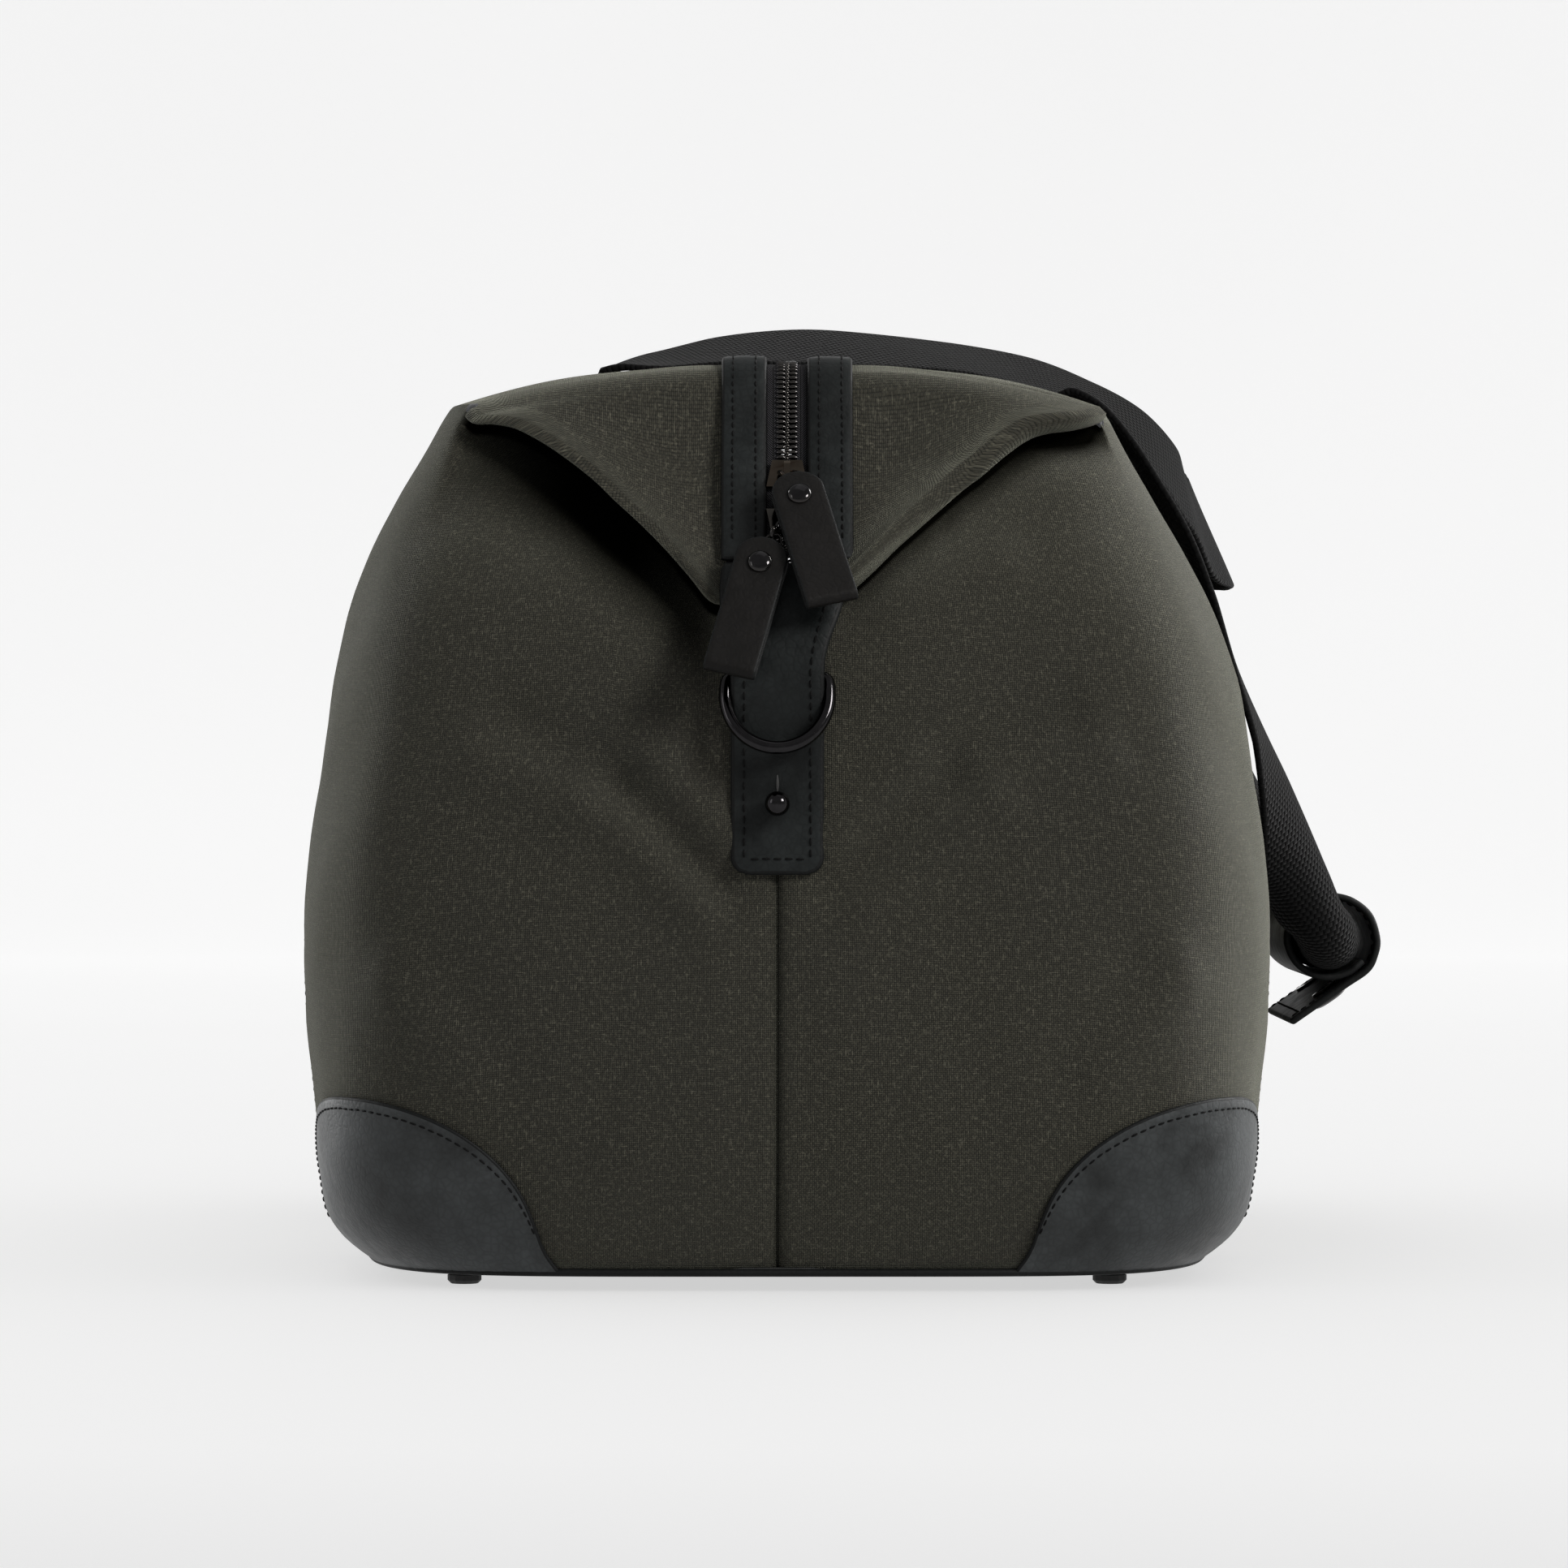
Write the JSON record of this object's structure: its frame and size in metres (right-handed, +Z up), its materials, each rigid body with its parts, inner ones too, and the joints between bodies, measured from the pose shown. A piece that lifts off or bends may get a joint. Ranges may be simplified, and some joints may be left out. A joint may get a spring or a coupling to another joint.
{
  "type": "weekender bag",
  "caption": "Canvas weekender bag with tucked ends, a two-way top zip with leather trim, D-ring tabs at both ends and two webbing handles.",
  "frame": {"origin": "centre of the bounding box on the plane the feet stand on", "axes": "+Z up; +Y along the bag, from the end with the zip sliders to the other end; +X across it, towards the front face that both handles hang over"},
  "size_m": [0.3369, 0.5298, 0.2902],
  "materials": {
    "canvas": "matte waxed cotton canvas",
    "lining": "matte cotton twill",
    "base": "matte coated canvas",
    "board": "matte",
    "tape": "matte woven",
    "leather": "satin full-grain",
    "pull_leather": "satin full-grain",
    "webbing": "matte woven cotton",
    "nickel": "polished black nickel",
    "rubber": "matte"
  },
  "bodies": {
    "bag": {"front_panel": "canvas", "back_panel": "canvas", "lining_front": "lining", "lining_back": "lining", "base_panel": "base", "base_board": "board", "zip_tape_front": "tape", "zip_tape_back": "tape", "zip_teeth_front": "nickel", "zip_teeth_back": "nickel", "zip_stop_near": "nickel", "zip_stop_far": "nickel", "binding_front": "leather", "binding_back": "leather", "tab_base_near": "leather", "stud_near": "nickel", "stud_screw_near": "nickel", "corner_patch_front_near": "leather", "strap_front_near": "webbing", "foot_front_near": "rubber", "foot_washer_front_near": "nickel", "corner_patch_back_near": "leather", "strap_back_near": "webbing", "foot_back_near": "rubber", "foot_washer_back_near": "nickel", "tab_base_far": "leather", "stud_far": "nickel", "stud_screw_far": "nickel", "corner_patch_front_far": "leather", "strap_front_far": "webbing", "foot_front_far": "rubber", "foot_washer_front_far": "nickel", "corner_patch_back_far": "leather", "strap_back_far": "webbing", "foot_back_far": "rubber", "foot_washer_back_far": "nickel"},
    "tab_near": {"tab_near": "leather"},
    "d_ring_near": {"d_ring_near": "nickel"},
    "tab_far": {"tab_far": "leather"},
    "d_ring_far": {"d_ring_far": "nickel"},
    "slider_a": {"slider_a": "nickel"},
    "slider_b": {"slider_b": "nickel"},
    "pull_a": {"bail_a": "nickel", "pull_a": "pull_leather", "rivet_a": "nickel"},
    "pull_b": {"bail_b": "nickel", "ring_b": "nickel", "pull_b": "pull_leather", "rivet_b": "nickel"},
    "handle_back": {"handle_back": "webbing"},
    "handle_front": {"handle_front": "webbing", "grip_wrap": "leather", "snap_cap_near": "nickel", "snap_cap_far": "nickel", "snap_socket_near": "nickel", "snap_socket_far": "nickel"}
  },
  "joints": [
    {"name": "handle_back_lift", "type": "hinge", "parent": "bag", "child": "handle_back", "pos_m": [-0.0708, 0.0037, 0.2778], "axis": [0, -1, 0], "range_deg": [0, 105]},
    {"name": "handle_front_lift", "type": "hinge", "parent": "bag", "child": "handle_front", "pos_m": [0.0632, 0.0037, 0.2666], "axis": [0, -1, 0], "range_deg": [0, 150]},
    {"name": "tab_near_lift", "type": "hinge", "parent": "bag", "child": "tab_near", "pos_m": [-0.0208, -0.2526, 0.1775], "axis": [-1, 0, 0], "range_deg": [0, 45]},
    {"name": "d_ring_near_swing", "type": "hinge", "parent": "tab_near", "child": "d_ring_near", "pos_m": [-0.0208, -0.2475, 0.1775], "axis": [-1, 0, 0], "range_deg": [0, 45]},
    {"name": "tab_far_lift", "type": "hinge", "parent": "bag", "child": "tab_far", "pos_m": [-0.0208, 0.26, 0.1775], "axis": [1, 0, 0], "range_deg": [0, 45]},
    {"name": "d_ring_far_swing", "type": "hinge", "parent": "tab_far", "child": "d_ring_far", "pos_m": [-0.0208, 0.2549, 0.1775], "axis": [1, 0, 0], "range_deg": [0, 80]},
    {"name": "slider_a_slide", "type": "slide", "parent": "bag", "child": "slider_a", "axis": [0, 0.4871, 0.8734], "range_m": [0, 0.02]},
    {"name": "slider_b_slide", "type": "slide", "parent": "bag", "child": "slider_b", "axis": [0, 0.4871, 0.8734], "range_m": [-0.006, 0]},
    {"name": "pull_a_swing", "type": "hinge", "parent": "slider_a", "child": "pull_a", "pos_m": [-0.0208, -0.22414, 0.23779], "axis": [-1, 0, 0], "range_deg": [0, 90]},
    {"name": "pull_b_swing", "type": "hinge", "parent": "slider_b", "child": "pull_b", "pos_m": [-0.0208, -0.23223, 0.22329], "axis": [-1, 0, 0], "range_deg": [0, 90]}
  ],
  "couplings": [
    {"joint": "pull_a_swing", "follows": "pull_b_swing", "ratio": 1}
  ]
}
